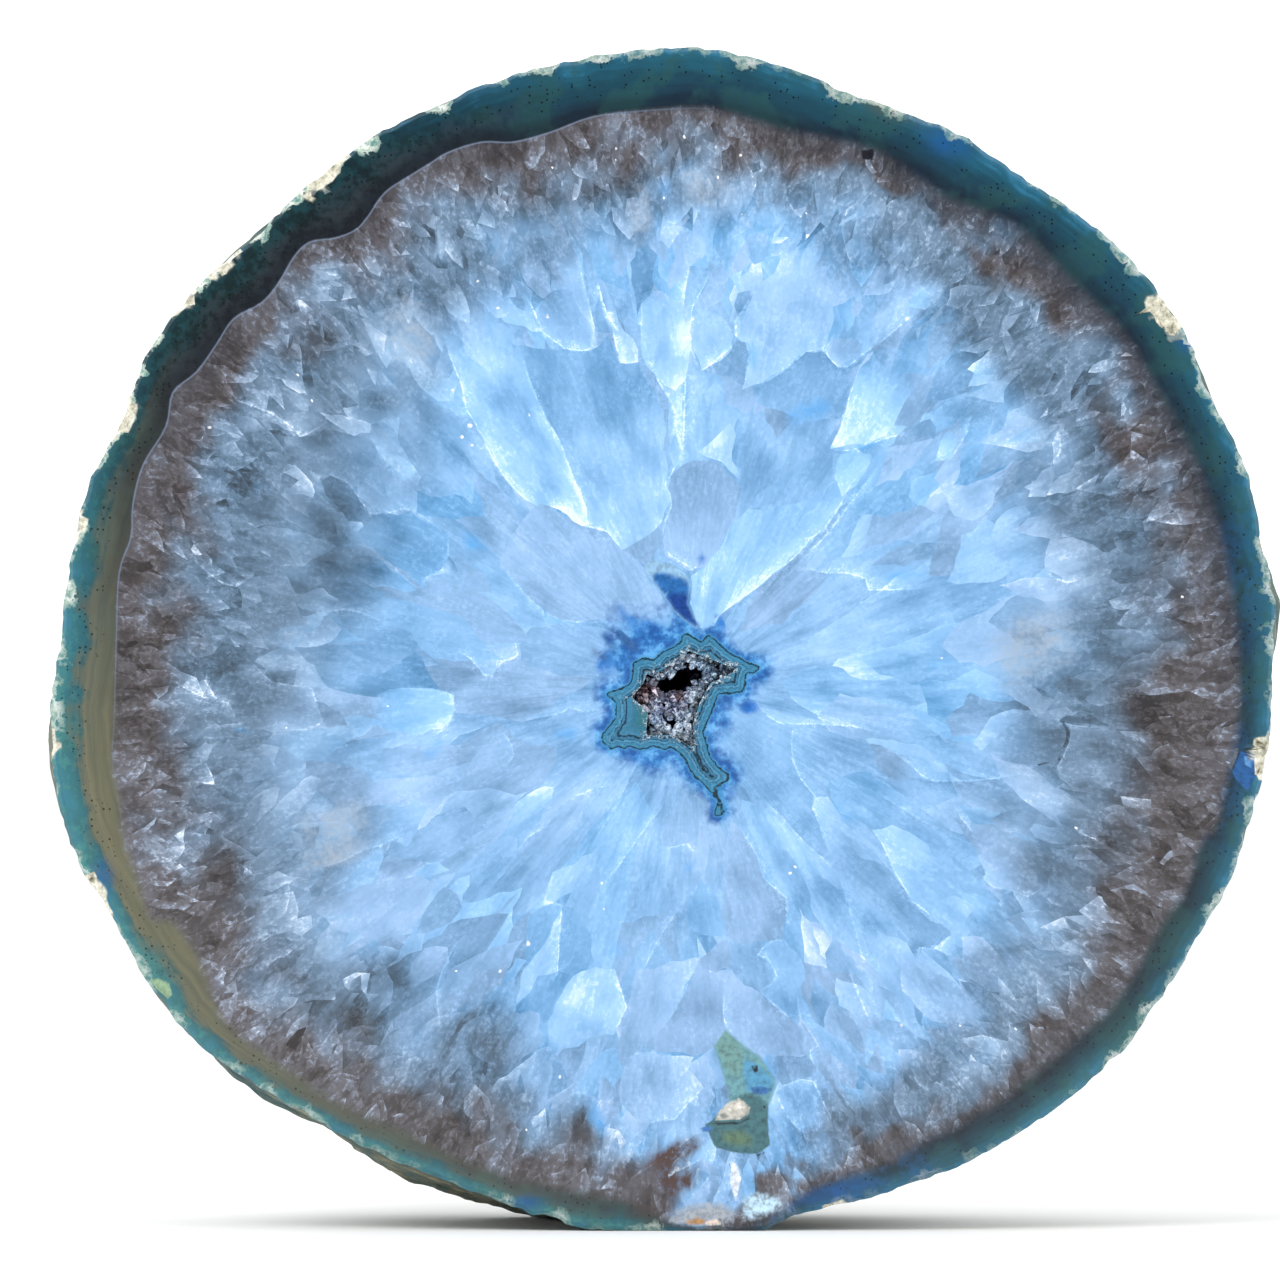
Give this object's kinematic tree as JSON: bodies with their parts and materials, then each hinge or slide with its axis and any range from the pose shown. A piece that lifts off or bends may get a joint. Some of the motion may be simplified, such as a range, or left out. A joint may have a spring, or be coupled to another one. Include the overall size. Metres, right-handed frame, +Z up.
{
  "type": "agate half nodule",
  "caption": "Thick half of a dyed agate nodule with a polished face, banded rim, pale blue quartz and a crystal-lined hollow, standing on a flat spot",
  "frame": {"origin": "on the ground under the middle of the stone's bounding box", "axes": "X runs to the right of the polished face, which looks towards -Y; Z is up"},
  "size_m": [0.1246, 0.046, 0.1185],
  "materials": {
    "agate": "polished on the cut face, rough skin elsewhere",
    "quartz_druse": "clear faceted crystals"
  },
  "bodies": {
    "root": {"agate_half": "agate", "druse_crust": "quartz_druse"}
  },
  "joints": []
}
